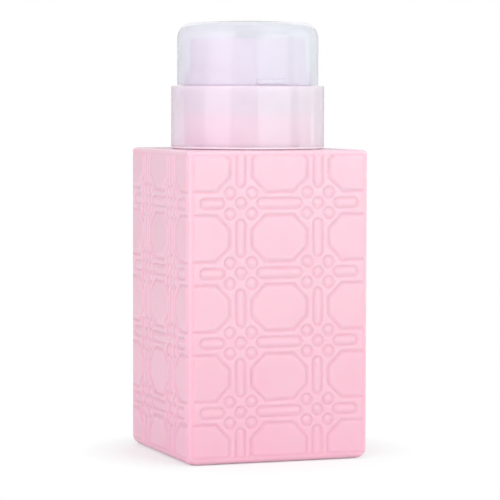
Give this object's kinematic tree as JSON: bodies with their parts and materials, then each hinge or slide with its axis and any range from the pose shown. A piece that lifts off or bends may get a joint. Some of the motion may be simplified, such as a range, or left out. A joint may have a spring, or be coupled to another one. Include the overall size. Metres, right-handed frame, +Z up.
{
  "type": "push-down pump dispenser bottle",
  "caption": "Square frosted bottle with a lattice relief, a round screw closure, a hinged dome lid and a push-down dish that pumps nail polish remover.",
  "frame": {"origin": "centre of the bottle's foot, on the surface it stands on", "axes": "+Z up; -Y is the front, where the lid has its thumb tab; +Y is the back, where the lid's hinge is; +X is to the right seen from the front"},
  "size_m": [0.053, 0.053, 0.1224],
  "materials": {
    "frosted_pink_pet": "frosted",
    "translucent_pp": "satin translucent",
    "clear_pp": "smooth, slightly milky",
    "lilac_pp": "satin",
    "natural_pp": "natural",
    "natural_pe": "natural",
    "pe_foam": "foam",
    "silicone": "matte",
    "black_rubber": "matte",
    "stainless_steel": "bright"
  },
  "bodies": {
    "bottle": {"bottle": "frosted_pink_pet"},
    "neck_gasket": {"neck_gasket": "pe_foam"},
    "pump_insert": {"pump_cylinder": "natural_pp", "stem_guide": "natural_pp", "stem_seal": "black_rubber", "ball_cage": "natural_pp", "dip_tube": "natural_pe", "return_spring": "stainless_steel"},
    "lower_ball": {"lower_ball": "stainless_steel"},
    "closure": {"threaded_cap": "natural_pp", "closure_shell": "translucent_pp", "hinge_pin": "stainless_steel"},
    "flip_lid": {"flip_lid": "clear_pp", "lid_seal": "silicone"},
    "press_dish": {"press_dish": "lilac_pp", "outlet_cap": "natural_pp", "pump_stem": "natural_pp", "piston": "natural_pe", "piston_foot": "natural_pp"},
    "upper_ball": {"upper_ball": "stainless_steel"}
  },
  "joints": [
    {"name": "lift_out", "type": "slide", "parent": "bottle", "child": "neck_gasket", "axis": [0, 0, 1], "range_m": [0, 0.1]},
    {"name": "thread_rise", "type": "slide", "parent": "neck_gasket", "child": "pump_insert", "axis": [0, 0, 1], "range_m": [0, 0.0064]},
    {"name": "collar_unscrew", "type": "hinge", "parent": "pump_insert", "child": "closure", "pos_m": [0, 0, 0.1], "axis": [0, 0, 1], "range_deg": [0, 540]},
    {"name": "lid_hinge", "type": "hinge", "parent": "closure", "child": "flip_lid", "pos_m": [0, 0.0218, 0.10605], "axis": [-1, 0, 0], "range_deg": [0, 125]},
    {"name": "dish_press", "type": "slide", "parent": "pump_insert", "child": "press_dish", "axis": [0, 0, -1], "range_m": [0, 0.005], "stiffness_N_per_m": 600, "springref_m": -0.004, "deforming": ["return_spring"]},
    {"name": "upper_ball_lift", "type": "slide", "parent": "press_dish", "child": "upper_ball", "axis": [0, 0, 1], "range_m": [0, 0.001]},
    {"name": "lower_ball_lift", "type": "slide", "parent": "pump_insert", "child": "lower_ball", "axis": [0, 0, 1], "range_m": [0, 0.001]}
  ],
  "couplings": [
    {"joint": "thread_rise", "follows": "collar_unscrew", "m_per_rad": 0.000673}
  ]
}
